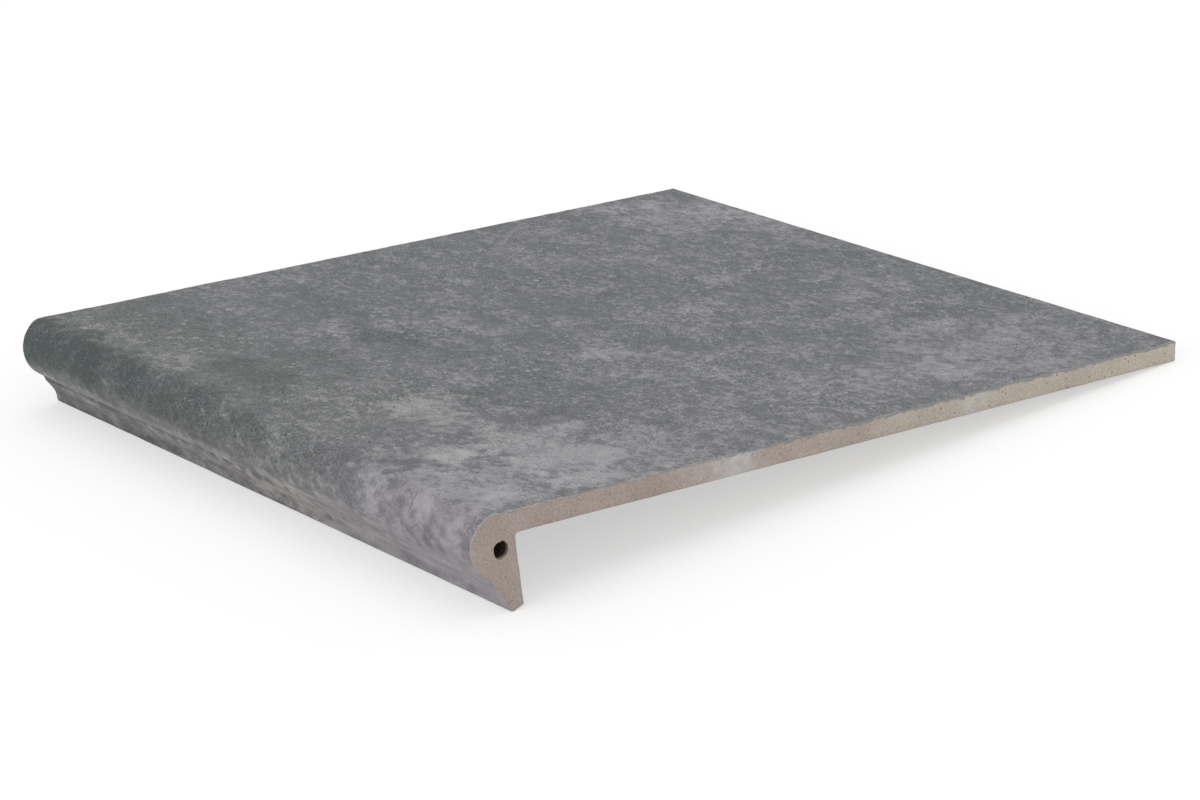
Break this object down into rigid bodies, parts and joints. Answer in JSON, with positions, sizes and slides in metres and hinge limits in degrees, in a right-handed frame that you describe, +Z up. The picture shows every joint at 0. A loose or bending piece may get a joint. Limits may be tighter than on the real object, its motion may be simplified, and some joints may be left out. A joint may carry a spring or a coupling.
{
  "type": "stair tread tile",
  "caption": "Glazed stoneware stair tread tile: flat slab with a bullnose front edge, a cove and a drip lip below it, and a core bore along the nosing.",
  "frame": {"origin": "bottom centre of the bounding box, on the floor that the tile lies on", "axes": "X along the nosing, +Y from the nosing to the back edge, +Z up. The tile lies unheld on its lip's foot and its back bottom corner, so its top slopes down about 5.1 degrees to the back"},
  "size_m": [0.33, 0.3446, 0.0385],
  "materials": {
    "glazed_stoneware": "matt, cloudy cement-grey glaze on the top and down the nosing, bare beige-grey fired body on the cut ends, back edge, underside and lip's back"
  },
  "bodies": {
    "root": {"stair_tread_tile": "glazed_stoneware"}
  },
  "joints": []
}
